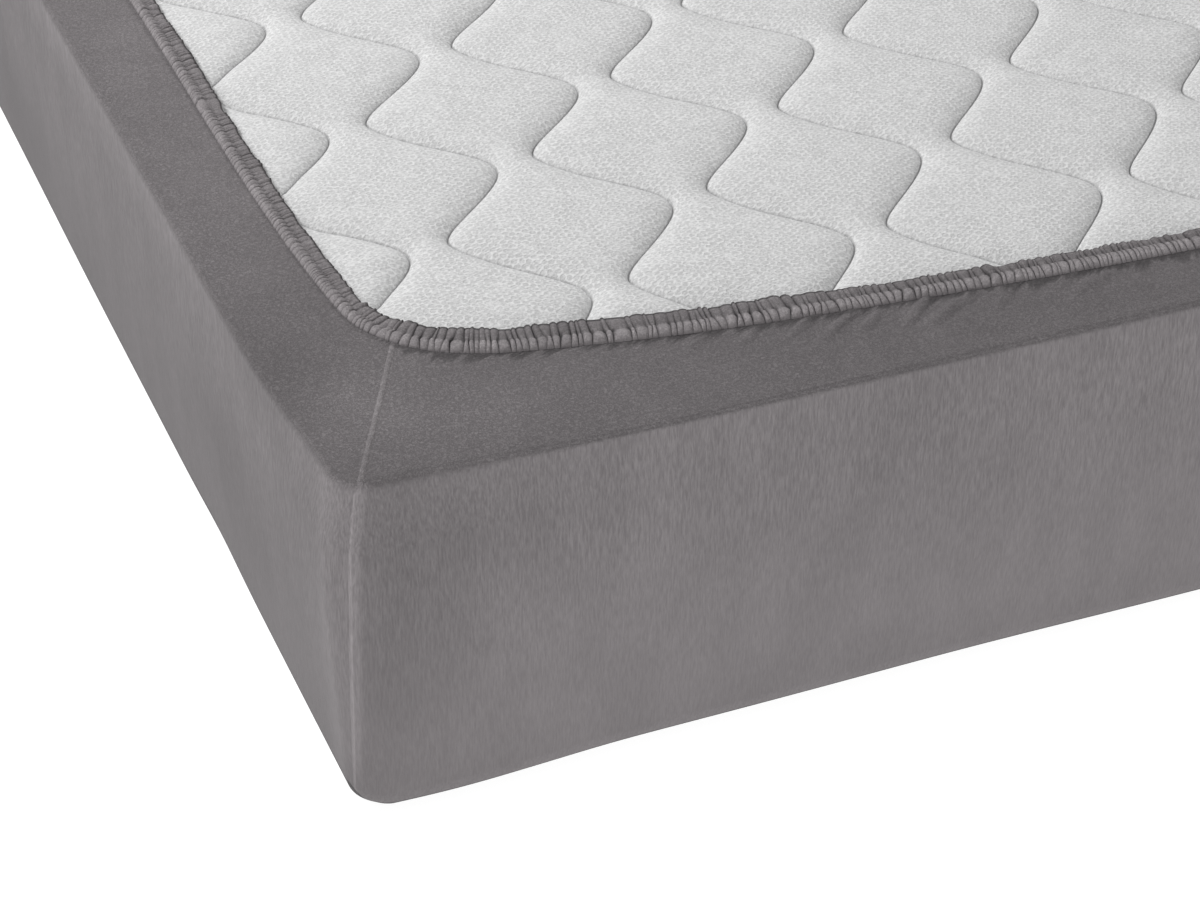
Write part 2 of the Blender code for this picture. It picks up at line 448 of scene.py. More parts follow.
def jerseyGrain(tree, place):
    # brushed cotton jersey: fine speckle, which draws out into upright streaks on the sides
    streaks = noise(tree, stretched(tree, place, (1.0, 1.0, 0.12)), jerseyLook["streaks"], 2.5, 0.62)
    speckle = noise(tree, place, jerseyLook["speckle"], 3.0, 0.7, 1.4)
    flat = ranged(tree, upPart(tree, addNode(tree, "NewGeometry").outputs["Normal"]), 0.3, 0.8)
    # the streaks fade towards the floor
    high = upPart(tree, place)
    streaks = sums(tree, "SUBTRACT", ranged(tree, streaks, 0.17, 0.83), 0.5)
    streaks = times(tree, streaks, ranged(tree, high, 0.06, 0.25, 0.60, 1.25))
    streaks = plus(tree, streaks, 0.5)
    speckle = ranged(tree, speckle, 0.412, 0.568)
    shade = addNode(tree, "Mix", {"Factor": flat, 2: streaks, 3: speckle}, data_type="FLOAT").outputs[0]
    cloudy = noise(tree, stretched(tree, place, (1.0, 1.0, 0.4)), 24, 3.0, 0.5)
    colour = mixed(tree, shade, jerseyLook["dark"], jerseyLook["light"])
    return scaled(tree, colour, ranged(tree, cloudy, 0.3, 0.7, 0.96, 1.04)), shade


def brushed(tree, shader, colour, height, depth):
    shader.inputs["Roughness"].default_value = 0.92
    shader.inputs["Specular IOR Level"].default_value = 0.12
    shader.inputs["Sheen Weight"].default_value = 0.05
    shader.inputs["Sheen Roughness"].default_value = 0.55
    tree.links.new(colour, shader.inputs["Base Color"])
    bump = addNode(tree, "Bump", {"Strength": depth, "Distance": 1.0, "Height": height})
    tree.links.new(bump.outputs["Normal"], shader.inputs["Normal"])


def sheetMaterial():
    # the UV maps hold distances from the gathered edge and along it, the distance from the seam and the
    # painted light and shade, the distance from the fold and how much a place is on a short side
    look = jerseyLook
    material, tree, shader = newMaterial("greyJersey")
    place = addNode(tree, "TexCoord").outputs["Object"]
    colour, grain = jerseyGrain(tree, place)
    edge, away, along = mapped(tree, "hemming")
    toSeam, paintedLightAndShade = mapped(tree, "seams")[1:]
    toFold, shortSide = mapped(tree, "sides")[1:]
    # a painted highlight over the seams, where the cloth is stretched
    colour = scaled(tree, colour, ranged(tree, toSeam, *look["seamHighlight"], look["seam"], 1.0))
    # painted light and shade
    colour = scaled(tree, colour, paintedLightAndShade)
    # a painted shadow line low down, where the sides turn under
    turning = plus(tree, upPart(tree, place), times(tree, shortSide, look["lowerOnShort"]))
    line = ranged(tree, turning, *look["lowerShadowLine"], 0.0)
    colour = darkened(tree, colour, times(tree, line, ranged(tree, turning, *look["shadowLineFoot"])))
    # the painted shadow under the gathered edge, which ends in small fingers and reaches further on the
    # short sides
    straight = sums(tree, "SUBTRACT", along, times(tree, away, 0.5))
    straight = addNode(tree, "CombineXYZ", {0: away, 1: straight}).outputs[0]
    fingers = ranged(tree, noise(tree, stretched(tree, straight, look["fingers"]), 1.0, 2.5), 0.30, 0.70)
    least, onLong, onShort = look["fingerReach"]
    reach = plus(tree, least, times(tree, fingers, ranged(tree, shortSide, 0, 1, onLong, onShort)))
    under = ranged(tree, sums(tree, "DIVIDE", away, reach), 0.52, 1.24, 1.0, 0.0)
    under = times(tree, under, ranged(tree, shortSide, 0, 1, look["underOnLong"], 1.0))
    colour = darkened(tree, colour, times(tree, under, look["underBand"]))
    # painted shade beside the short sides' fold
    beside = times(tree, ranged(tree, toFold, *look["besideFold"], 0.0), shortSide)
    colour = darkened(tree, colour, beside)
    # small puckers run out from the gathered edge
    pucker = noise(tree, stretched(tree, edge, (40, 190, 0)), 1.0, 1.5)
    near = sums(tree, "EXPONENT", times(tree, away, -1 / 0.011))
    pucker = times(tree, times(tree, pucker, near), 0.0042)
    brushed(tree, shader, colour, plus(tree, times(tree, grain, 0.00032), pucker), 0.8)
    return material


def gatheredMaterial():
    # the UV maps hold the painted shade between two gathers and how far across the band a place is, its
    # tone with painted light and shade, and how much it is on a long side
    material, tree, shader = newMaterial("gatheredJersey")
    place = addNode(tree, "TexCoord").outputs["Object"]
    colour, grain = jerseyGrain(tree, place)
    valley, across = mapped(tree, "gathers")[1:]
    tone, longSide = mapped(tree, "tone")[1:]
    # painted shade between the gathers
    paintedValleyShade = times(tree, ranged(tree, valley, 0.0, 1.0, smooth=False), jerseyLook["valley"])
    colour = scaled(tree, darkened(tree, colour, paintedValleyShade), tone)
    # darker towards the frill's edge
    edgeDarkness = ranged(tree, longSide, 0.0, 1.0, *jerseyLook["frillEdgeDark"])
    colour = darkened(tree, colour, times(tree, ranged(tree, across, 0.91, 0.97), edgeDarkness))
    brushed(tree, shader, colour, times(tree, grain, 0.0003), 0.7)
    return material


quiltLook = {
    "colour": (0.995, 0.995, 0.995, 1),
    "shade": (0.712, 0.712, 0.712, 1),
    "threadAndCreaseShade": (0.34, 0.34, 0.345, 1),
    "knitRepeat": 0.0047,  # between rows of the honeycomb knit
}


def tickingMaterial():
    # white honeycomb knit; the UV maps hold how far a place is from the nearest stitch line, how far
    # along that line, and how hard the line is pulled down there
    material, tree, shader = newMaterial("whiteTicking")
    place = addNode(tree, "TexCoord").outputs["Object"]
    spot = place
    for scale, reach in ((70, 0.0042), (260, 0.0009)):
        bent = addNode(tree, "TexNoise", {"Vector": place, "Scale": scale, "Detail": 1.0}).outputs["Color"]
        shaken = addNode(tree, "VectorMath", {0: bent, 1: (0.5, 0.5, 0.5)}, operation="SUBTRACT").outputs[0]
        shaken = scaled(tree, shaken, reach)
        spot = addNode(tree, "VectorMath", {0: spot, 1: shaken}, operation="ADD").outputs[0]
    turns = 2 * math.pi / quiltLook["knitRepeat"]
    total = 0.0
    for degrees in (0, 60, 120):
        angle = math.radians(degrees)
        across = (turns * math.cos(angle), turns * math.sin(angle), 0)
        dot = addNode(tree, "VectorMath", {0: spot, 1: across}, operation="DOT_PRODUCT")
        total = plus(tree, total, sums(tree, "COSINE", dot.outputs["Value"]))
    dimple = ranged(tree, total, -1.25, 0.1)
    fuzz = noise(tree, stretched(tree, place, (0.5, 1.1, 1.0)), 700, 2.0, 0.65)
    fuzz = ranged(tree, fuzz, 0.42, 0.625)
    strength = ranged(tree, noise(tree, place, 60), 0.32, 0.60, 0.55, 1.0)
    dimple = times(tree, dimple, strength)

    seam, away, along = mapped(tree, "stitching")
    pull = mapped(tree, "pull")[1]
    ripple = noise(tree, stretched(tree, seam, (60, 260, 0)), 1.0, 1.0)
    near = sums(tree, "EXPONENT", times(tree, away, -1 / 0.006))
    ripple = times(tree, ripple, near)
    dashes = ranged(tree, noise(tree, stretched(tree, seam, (0, 130, 0)), 1.0, 1.0), 0.40, 0.62, 0.0, 0.70)
    # painted shade in the stitch creases, with the thread: the line is thin where it lies open, and wider
    # and darker where it is pulled down
    crease = sums(tree, "DIVIDE", away, ranged(tree, pull, 0.0, 1.0, 0.0019, 0.0014))
    crease = ranged(tree, crease, 0.25, 1.0, 1.0, 0.0)
    crease = times(tree, crease, ranged(tree, plus(tree, pull, dashes), 0.0, 1.0, 0.36, 0.62))

    shade = plus(tree, times(tree, dimple, 0.52), times(tree, fuzz, 0.78))
    base = mixed(tree, shade, quiltLook["colour"], quiltLook["shade"])
    # the stitch creases are painted darker, part thread colour and part painted shade
    base = mixed(tree, crease, base, quiltLook["threadAndCreaseShade"])
    tree.links.new(base, shader.inputs["Base Color"])
    shader.inputs["Roughness"].default_value = 0.85
    shader.inputs["Specular IOR Level"].default_value = 0.3
    ripple = times(tree, ripple, ranged(tree, pull, 0.2, 0.9, 0.00008, 0.0010))
    height = plus(tree, times(tree, dimple, -0.00024), ripple)
    height = plus(tree, height, times(tree, fuzz, 0.00015))
    bump = addNode(tree, "Bump", {"Strength": 1.0, "Distance": 1.0, "Height": height})
    tree.links.new(bump.outputs["Normal"], shader.inputs["Normal"])
    return material


jersey = sheetMaterial()
gatheredJersey = gatheredMaterial()
ticking = tickingMaterial()


# ---- the mattress, with its quilted face up

quilting = {
    "lines": 13,
    "firstLine": -0.5924,  # middle of the leftmost line that shows whole
    "gap": 0.100,  # between the middles of two lines
    "swing": 0.0335,
    "repeat": 0.18337,
    "turnPlace": -0.4670,  # a place where the odd lines turn on their right
    "squareness": 0.74,  # 0 is a plain wave; nearer 1 has straighter flanks and tighter turns
    "leftFurther": 0.02,  # the left turns are tighter and reach further out than the right ones
    "leftLate": 0.22,
    "drift": 0.0095,  # the first lines lie this much further right at the far end
    "depth": 0.0072,
    "softness": 0.0090,
    "stitchDepth": 0.0014,
    "halfWidth": 0.650,
    "halfLength": 0.950,
    "rows": 396,
    "swell": 0.0062,  # rise of the quilted face inside the elastic
    "frill": 0.0168,  # the elastic covers the face this far in from the sheet's gathered edge
}


def stitchLine(number, y):
    k = quilting["squareness"]
    start = quilting["turnPlace"] - np.where(number % 2 == 0, quilting["repeat"] / 2, 0.0)
    turn = 2 * math.pi * (y - start) / quilting["repeat"]
    left = ((1 - np.cos(turn)) / 2) ** 4
    wave = np.arcsin(k * np.cos(turn - quilting["leftLate"] * left)) / math.asin(k)
    wave = wave - quilting["leftFurther"] * left
    drift = quilting["drift"] * np.clip((3.5 - number) / 2.5, 0, 1) * eased(y, -0.62, -0.32)
    return quilting["firstLine"] + quilting["gap"] * number + quilting["swing"] * wave + drift


def distanceToStitching(x, y):
    # from the nearest stitch line, the length along that line, and how hard it is pulled down there
    fineY = np.linspace(-1.2, 1.2, 9601)
    lengths = [lengthAlong(np.stack([stitchLine(np.array(odd), fineY), fineY], axis=-1)) for odd in (0, 1)]
    best = np.full(x.shape, 1.0)
    along = np.zeros(x.shape)
    slant = np.zeros(x.shape)
    guess = np.floor((x - quilting["firstLine"]) / quilting["gap"]).astype(int)
    for side in (-1, 0, 1, 2):
        number = guess + side
        for step in np.linspace(-0.06, 0.06, 97):
            there = y + step
            apart = np.hypot(x - stitchLine(number, there), step)
            closer = apart < best
            best = np.where(closer, apart, best)
            even, odd = (np.interp(there, fineY, length) for length in lengths)
            along = np.where(closer, np.where(number % 2 == 0, even, odd), along)
            ahead = stitchLine(number, there + 0.004) - stitchLine(number, there - 0.004)
            slant = np.where(closer, ahead / 0.008, slant)
    return best, along, eased(slant, -0.45, 0.45)


def quiltColumns():
    # shares across one gap between two lines, closest together beside the stitching
    half = np.array([0, 0.011, 0.032, 0.070, 0.13, 0.21, 0.34])
    return np.concatenate([half, [0.5], 1 - half[::-1]])


def insideHem(x, y):
    # how far a place on the upward face lies inside the elastic's inner edge; negative under the sheet
    line, inward = hemLine[::6], hemInward[::6]
    flatX, flatY = x.ravel(), y.ravel()
    inside = np.zeros(flatX.shape)
    for start in range(0, len(flatX), 20000):
        part = slice(start, start + 20000)
        dx = flatX[part, None] - line[None, :, 0]
        dy = flatY[part, None] - line[None, :, 1]
        apart = np.hypot(dx, dy)
        nearest = apart.argmin(axis=1)
        rows = np.arange(len(nearest))
        side = np.sign(dx[rows, nearest] * inward[nearest, 0] + dy[rows, nearest] * inward[nearest, 1])
        inside[part] = apart[rows, nearest] * side
    return inside.reshape(x.shape)


def mattressPiece():
    halfX, halfY = quilting["halfWidth"], quilting["halfLength"]
    shares = quiltColumns()
    gaps = quilting["lines"] + 1
    columns = gaps * (len(shares) - 1)
    rows = quilting["rows"]
    y = np.linspace(-halfY, halfY, rows + 1)
    # rows lie closer together where the lines turn
    turn = quilting["turnPlace"]
    beat = quilting["repeat"] / 2
    closer = eased(halfY - np.abs(y), 0.0, 0.08)
    y = y + 0.28 * beat / (2 * math.pi) * -np.sin(2 * math.pi * (y - turn) / beat) * closer
    x = np.zeros((rows + 1, columns + 1))
    for gap in range(gaps):
        number = gap - 1
        left = stitchLine(np.array(number), y) if gap > 0 else np.full(y.shape, -halfX)
        right = stitchLine(np.array(number + 1), y) if gap < gaps - 1 else np.full(y.shape, halfX)
        first = gap * (len(shares) - 1)
        x[:, first : first + len(shares)] = left[:, None] * (1 - shares) + right[:, None] * shares
    gridY = np.repeat(y[:, None], columns + 1, axis=1)
    away, along, pull = distanceToStitching(x, gridY)
    inside = insideHem(x, gridY) - quilting["frill"]
    rise = eased(inside, -0.004, 0.030) * 0.55 + eased(inside, 0.0, 0.20) * 0.45
    puff = 1 - np.exp(-away / quilting["softness"])
    puff = puff * (1 + 0.10 * lumps(x, gridY, 0.06, 4) + 0.06 * lumps(x, gridY, 0.025, 5))
    sunk = quilting["stitchDepth"] * (0.5 + 0.8 * pull) * np.exp(-away / 0.0012)
    pressed = eased(inside, -0.006, 0.012)
    z = block["topFace"] + quilting["swell"] * rise + pressed * (quilting["depth"] * (puff - 0.62) - sunk)
    z = np.where(inside < -0.003, block["topFace"] - 0.001, z)
    points = np.stack([x, gridY, z], axis=-1)
    mesh, row, column = clothGrid("mattress", columns, rows, points)
    addMap(mesh, "stitching", away[row, column], along[row, column])
    addMap(mesh, "pull", pull[row, column], 0 * pull[row, column])

    # its border: the grid's edge runs on over the top edge, down the sides and under
    bm = bmesh.new()
    bm.from_mesh(mesh)
    ringShare = bm.verts.layers.float.new("ringShare")
    edge = [e for e in bm.edges if e.is_boundary]
    for vertex in {v for e in edge for v in e.verts}:
        vertex[ringShare] = rectangleShare(vertex.co.x, vertex.co.y, halfX, halfY)
    ring = ringColumns([(60, 40, 80)] * 4, pinch=1.0)
    for inset, corner, z in borderSection():
        places = outline(ring, inset + drawnIn(ring, z), np.array(corner), np.array(z))
        share = lengthAlong(places[:, :2])
        share /= share[-1]
        made = bmesh.ops.extrude_edge_only(bm, edges=edge)["geom"]
        edge = [g for g in made if isinstance(g, bmesh.types.BMEdge)]
        for vertex in {g for g in made if isinstance(g, bmesh.types.BMVert)}:
            spot = vertex[ringShare]
            vertex.co = [np.interp(spot, share, places[:, k]) for k in (0, 1, 2)]
    bmesh.ops.edgeloop_fill(bm, edges=edge)
    bmesh.ops.recalc_face_normals(bm, faces=bm.faces)
    bm.to_mesh(mesh)
    bm.free()
    piece = finished("quiltedMattress", mesh, ticking)
    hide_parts("mattress")
    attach(piece, "root")
    return piece


def rectangleShare(x, y, halfX, halfY):
    # how far round a rectangle a point on its edge lies, from the middle of the front side
    around = 4 * (halfX + halfY)
    if abs(y + halfY) < 1e-6:
        length = x if x >= 0 else around + x
    elif abs(x - halfX) < 1e-6:
        length = halfX + (y + halfY)
    elif abs(y - halfY) < 1e-6:
        length = halfX + 2 * halfY + (halfX - x)
    else:
        length = 3 * halfX + 2 * halfY + (halfY - y)
    return (length % around) / around


def borderSection():
    # the top edge, the sides and the floor edge, from the upward face down
    rows = []
    topRadius, floorRadius = block["topEdgeRadius"], block["floorEdgeRadius"]
    for angle in np.radians([90, 60, 30, 0]):
        inset = topRadius * (1 - math.cos(angle))
        z = block["topFace"] - topRadius + topRadius * math.sin(angle)
        rows.append((inset, block["cornerHigh"], z))
    top, floor = block["topFace"] - topRadius, block["floorFace"] + floorRadius
    for share in (0.66, 0.33):
        swell = block["sideSwell"] * math.sin(math.pi * share)
        corner = block["cornerLow"] + (block["cornerHigh"] - block["cornerLow"]) * share
        rows.append((-swell, corner, floor + (top - floor) * share))
    for angle in np.radians([90, 60, 30, 0]):
        inset = floorRadius * (1 - math.sin(angle))
        rows.append((inset, block["cornerLow"], floor - floorRadius * math.cos(angle)))
    return rows


mattressPart = mattressPiece()
print("the mattress is quilted")


# ---- the fitted sheet

sheetWork = {
    "cloth": 0.002,
    "flat": (2.10, 2.70),  # cut size before the corner squares come out
    "area": 5.30,
    # mesh steps along a short side, round the corner and along a long side, for each quarter from the
    # front right round to the front left
    "steps": ((250, 20, 36), (40, 20, 36), (40, 20, 60), (270, 64, 150)),
    "floorSteps": 3,
    "wallSteps": 6,
    "foldSteps": 5,
    "besideFold": (0.0012, 0.0028, 0.0052, 0.0085),  # rows of the flange that lie close to the fold
    "flangeSteps": 21,
    # the upright corners from the floor up: height, round, and how far round the corner from the
    # short side the seam lies
    "corner": (
        (0.000, 0.026, 0.70),
        (0.030, 0.023, 0.67),
        (0.080, 0.018, 0.53),
        (0.130, 0.017, 0.43),
        (0.200, 0.020, 0.345),
        (0.222, 0.024, 0.37),
        (0.259, 0.029, 0.395),
        (0.268, 0.030, 0.23),
    ),
    "seamOnHem": 0.59,
    "shortFold": (0.007, 0.0024),  # round of the fold beside a corner and along the rest of the side
    "longFold": (0.006, 0.004),
    "creaseAngle": 52,
    "seamHeight": 0.0008,
    "seamWidth": 0.0011,
    "allowance": (0.0075, 0.0009),  # width and rise of the seam allowance under the cloth
    # creases that run from the gathered edge of the front: x, y, length, degrees, rise, half width
    "creases": (
        (-0.3285, -0.9185, 0.040, -149, 0.0019, 0.0034),
        (-0.3033, -0.9242, 0.052, -146, 0.0025, 0.0034),
        (-0.2898, -0.9336, 0.030, -145, 0.0014, 0.0030),
        (-0.2498, -0.9287, 0.048, -139, 0.0026, 0.0034),
        (-0.2356, -0.9411, 0.044, -148, 0.0025, 0.0038),
        (-0.2167, -0.9347, 0.020, -148, 0.0014, 0.0030),
        (-0.1930, -0.9412, 0.032, -139, 0.0015, 0.0034),
        (-0.1200, -0.9444, 0.042, -158, 0.0018, 0.0040),
        (-0.3778, -0.9234, 0.022, -143, 0.0013, 0.0034),
        (-0.4119, -0.9141, 0.024, -138, 0.0011, 0.0034),
    ),
    # a dip right beside the short sides' fold and a rise further in: middle, reach, height
    "besideShortFold": ((0.0075, 0.0035, 0.0003), (0.0014, 0.0014, -0.0004)),
    # painted light and shade: how much lighter the turned-over cloth is painted, over the seam's allowance,
    # beyond the seam and under the long sides' fold, and how much darker near the floor
    "flangePaintedLight": 0.20,
    "allowancePaintedLight": 0.26,
    "besideSeamPaintedLight": 0.20,
    "foldPaintedHighlight": 0.08,
    "floorPaintedShade": 0.08,
    # places painted lighter or darker for light and shade: centre, reach each way, share
    "paintedLightAndShade": (
        ((-0.655, -0.90, 0.27), (0.035, 0.05, 0.02), 0.20),
        ((-0.69, -0.86, 0.27), (0.03, 0.07, 0.02), -0.12),
        ((-0.68, -0.81, 0.27), (0.05, 0.07, 0.02), -0.10),
        ((-0.68, -0.64, 0.27), (0.06, 0.10, 0.02), 0.08),
        ((-0.66, -0.30, 0.27), (0.06, 0.45, 0.02), 0.27),
        ((-0.53, -0.945, 0.27), (0.12, 0.05, 0.02), 0.10),
        ((-0.59, -0.925, 0.27), (0.06, 0.035, 0.02), 0.10),
        ((-0.61, -0.878, 0.27), (0.03, 0.024, 0.02), 0.12),
        ((0.10, -0.96, 0.27), (0.50, 0.05, 0.02), -0.02),
        ((-0.70, -0.35, 0.05), (0.03, 0.50, 0.09), -0.15),
        ((-0.70, -0.75, 0.12), (0.03, 0.12, 0.06), -0.12),
        ((-0.70, -0.05, 0.10), (0.03, 0.15, 0.08), -0.15),
        ((-0.70, -0.97, 0.16), (0.02, 0.05, 0.12), 0.04),
        ((-0.70, -0.80, 0.235), (0.03, 0.25, 0.025), 0.07),
        ((-0.66, -1.00, 0.16), (0.05, 0.02, 0.14), -0.17),
        ((-0.58, -1.00, 0.22), (0.08, 0.03, 0.06), -0.06),
        ((0.0, -1.00, 0.20), (0.06, 0.03, 0.05), 0.05),
        ((-0.31, -1.00, 0.19), (0.09, 0.03, 0.08), -0.06),
        ((-0.50, -1.00, 0.245), (0.30, 0.03, 0.02), -0.06),
    ),
}


def sheetRows(ring, shortShare):
    # rows of points round the mattress: from the floor up, over the fold and in to the gathered edge
    s = sheetWork
    slack = block["slack"]
    crisp = eased(fromCorner(ring), 0.02, 0.16)
    foldRadius = sum(
        share * (fold[0] * (1 - crisp) + fold[1] * crisp)
        for share, fold in ((shortShare, s["shortFold"]), (1 - shortShare, s["longFold"]))
    )
    heights, rounds, seams = np.array(s["corner"]).T

    def wallRow(inset, z):
        seamShare = np.interp(z, heights, seams)
        return outline(turned(ring, seamShare), inset + drawnIn(ring, z), np.interp(z, heights, rounds), z)

    rows = []
    flat = np.zeros(len(crisp))
    floorRadius = block["floorEdgeRadius"]
    floorCentre = block["floorFace"] + floorRadius
    for i in range(s["floorSteps"] + 1):
        angle = math.pi / 2 * i / s["floorSteps"]
        reach = floorRadius + slack
        inset = floorRadius - reach * math.sin(angle) + flat
        rows.append(wallRow(inset, floorCentre - reach * math.cos(angle) + flat))
    # the fold rounds over from the side and ends in a crease
    creaseAngle = math.radians(s["creaseAngle"])
    foldCentre = block["topFace"] + slack - (foldRadius + slack) * math.sin(creaseAngle)
    for i in range(1, s["wallSteps"]):
        share = i / s["wallSteps"]
        z = floorCentre + (foldCentre - floorCentre) * share
        rows.append(wallRow(-slack - block["sideSwell"] * math.sin(math.pi * share) + flat, z))
    for i in range(s["foldSteps"] + 1):
        angle = creaseAngle * i / s["foldSteps"]
        reach = foldRadius + slack
        rows.append(wallRow(foldRadius - reach * math.cos(angle), foldCentre + reach * math.sin(angle)))
    turn = rows[-1]
    plan = hemPoints(turned(ring, s["seamOnHem"]))
    edge = np.concatenate([plan, flat[:, None] + block["topFace"] + slack], axis=1)
    flangeWidth = np.linalg.norm(edge - turn, axis=1)[:, None]
    for apart in s["besideFold"]:
        rows.append(turn + (edge - turn) * apart / flangeWidth)
    near = rows[-1]
    for i in range(1, s["flangeSteps"] + 1):
        share = i / s["flangeSteps"]
        share = 0.5 * share + 0.5 * math.sin(math.pi / 2 * share)
        rows.append(near + (edge - near) * share)
    return np.stack(rows), turn


def fittedSheet():
    s = sheetWork
    ring = ringColumns(s["steps"])
    shortShare = 1 - eased(ring["bend"], 0.3, 0.7)
    points, turn = sheetRows(ring, shortShare)
    x, y, z = points[:, :, 0], points[:, :, 1], points[:, :, 2]

    # unevenness, along the cloth's own outward direction
    outward = outwardOf(points)
    around = lengthAlong(points[s["floorSteps"] + 3, :, :2])
    wall = eased(z, 0.03, 0.07) * (1 - eased(z, 0.235, 0.262))
    stationWall = np.broadcast_to(around / around[-1] * 6.8, z.shape)
    bumps = 0.0009 * wall * lumps(stationWall, z, 0.16, 11)

    flange = np.zeros(z.shape)
    flange[s["floorSteps"] + s["wallSteps"] + s["foldSteps"] :] = 1
    toHem = np.linalg.norm(points - points[-1], axis=-1)
    toFold = np.where(flange > 0, np.linalg.norm(points - turn, axis=-1), 0.2)
    hemStation = np.broadcast_to(lengthAlong(points[-1, :, :2]), z.shape)
    pressed = eased(toHem, 0.003, 0.008)
    bumps = bumps + flange * pressed * eased(toFold, 0, 0.02) * 0.0005 * lumps(x, y, 0.05, 12)
    slanted = hemStation + 0.7 * toHem
    pucker = lumps(slanted, toHem * 0.15, 0.0105, 13)
    bumps = bumps + 0.0010 * flange * np.exp(-toHem / 0.014) * pressed * pucker * (0.3 + 0.7 * shortShare)
    for startX, startY, length, degrees, rise, halfWidth in s["creases"]:
        cos, sin = math.cos(math.radians(degrees)), math.sin(math.radians(degrees))
        along = (x - startX) * cos + (y - startY) * sin
        aside = (y - startY) * cos - (x - startX) * sin
        fade = eased(along, -0.014, -0.004) * (1 - eased(along, 0.3 * length, length))
        bumps = bumps + flange * pressed * rise * fade * np.exp(-((aside / halfWidth) ** 2))
    groove = swells(toFold, s["besideShortFold"])
    bumps = bumps + flange * groove * shortShare * eased(fromCorner(ring), 0.04, 0.16)

    # the four corner seams: a fine ridge, with the seam's allowance under the cloth beside it
    toSeam = np.full(z.shape, 0.1)
    strip = np.zeros(z.shape)
    beside = np.zeros(z.shape)
    width, rise = s["allowance"]
    for column in np.flatnonzero(np.abs(ring["bend"] - 0.5) < 1e-9):
        apart = np.linalg.norm(points - points[:, column : column + 1], axis=-1)
        side = np.where(np.arange(z.shape[1]) > column, 1.0, -1.0)
        if ring["signX"][column] * ring["signY"][column] > 0:
            side = -side  # the allowance lies towards the short side
        ridge = s["seamHeight"] * np.exp(-((apart / s["seamWidth"]) ** 2))
        under = rise * np.clip(apart / width, 0, 1) * (1 - eased(apart, width, width + 0.002)) * (side < 0)
        ridge = ridge * eased(z, 0.012, 0.03) * (0.6 + 0.4 * flange)
        bumps = bumps + ridge + under * eased(z, 0.015, 0.04) * (1 - eased(z, 0.235, 0.260))
        # the painted highlight over the seam is narrower on the sides, most of all close under the fold
        line = apart * (2.1 - 1.1 * flange) + 0.0010 * eased(z, 0.205, 0.235) * (1 - flange)
        toSeam = np.minimum(toSeam, line)
        onWall = eased(z, 0.015, 0.04) * (1 - flange)
        # painted light on the cloth over the allowance and just beyond the seam
        strip += (1 - eased(apart, 0.0040, width + 0.0005)) * (side < 0) * onWall
        beside += (1 - eased(apart, 0.016, 0.042)) * (side > 0) * onWall
    points = points + outward * bumps[:, :, None]

    # painted light: the upward-facing turned-over cloth, the allowance strip and the cloth beyond the seam
    # are painted lighter
    paintedLightAndShade = 1 + s["flangePaintedLight"] * flange + s["allowancePaintedLight"] * strip + s["besideSeamPaintedLight"] * beside
    # a painted highlight under the long sides' fold, and painted shade towards the floor
    underFold = np.exp(-(((z - 0.2625) / 0.0035) ** 2)) * (1 - flange) * (1 - shortShare)
    paintedLightAndShade += s["foldPaintedHighlight"] * underFold - s["floorPaintedShade"] * (1 - eased(z, 0.018, 0.060))
    # patches of painted light and shade
    for centre, reach, share in s["paintedLightAndShade"]:
        paintedLightAndShade += share * np.exp(-sum(((v - c) / r) ** 2 for v, c, r in zip((x, y, z), centre, reach)))

    mesh, row, column = clothGrid("fittedSheet", z.shape[1] - 1, z.shape[0] - 1, points)
    addMap(mesh, "hemming", toHem[row, column], slanted[row, column])
    addMap(mesh, "seams", toSeam[row, column], paintedLightAndShade[row, column])
    addMap(mesh, "sides", toFold[row, column], shortShare[column])
    bm = bmesh.new()
    bm.from_mesh(mesh)
    bmesh.ops.remove_doubles(bm, verts=bm.verts, dist=1e-6)
    low = min(v.co.z for v in bm.verts)
    bottom = [e for e in bm.edges if e.is_boundary and e.verts[0].co.z < low + 0.001]
    bmesh.ops.edgeloop_fill(bm, edges=bottom)
    bm.to_mesh(mesh)
    bm.free()
    piece = finished("fittedSheet", mesh, jersey)
    thickness = piece.modifiers.new("clothThickness", "SOLIDIFY")
    thickness.thickness = s["cloth"]
    thickness.offset = 1
    thickness.use_even_offset = False
    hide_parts("fitted_sheet")
    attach(piece, "root")
    return piece


def outwardOf(points):
    # each point's outward direction on a skin of rows by columns whose last column is its first
    ahead = np.concatenate([points[:, 1:], points[:, 1:2]], axis=1)
    behind = np.concatenate([points[:, -2:-1], points[:, :-1]], axis=1)
    along = ahead - behind
    up = np.gradient(points, axis=0)
    outward = np.cross(along, up)
    return outward / np.linalg.norm(outward, axis=-1)[:, :, None]


sheetPart = fittedSheet()
print("the sheet is fitted")


# ---- the gathered elastic edge

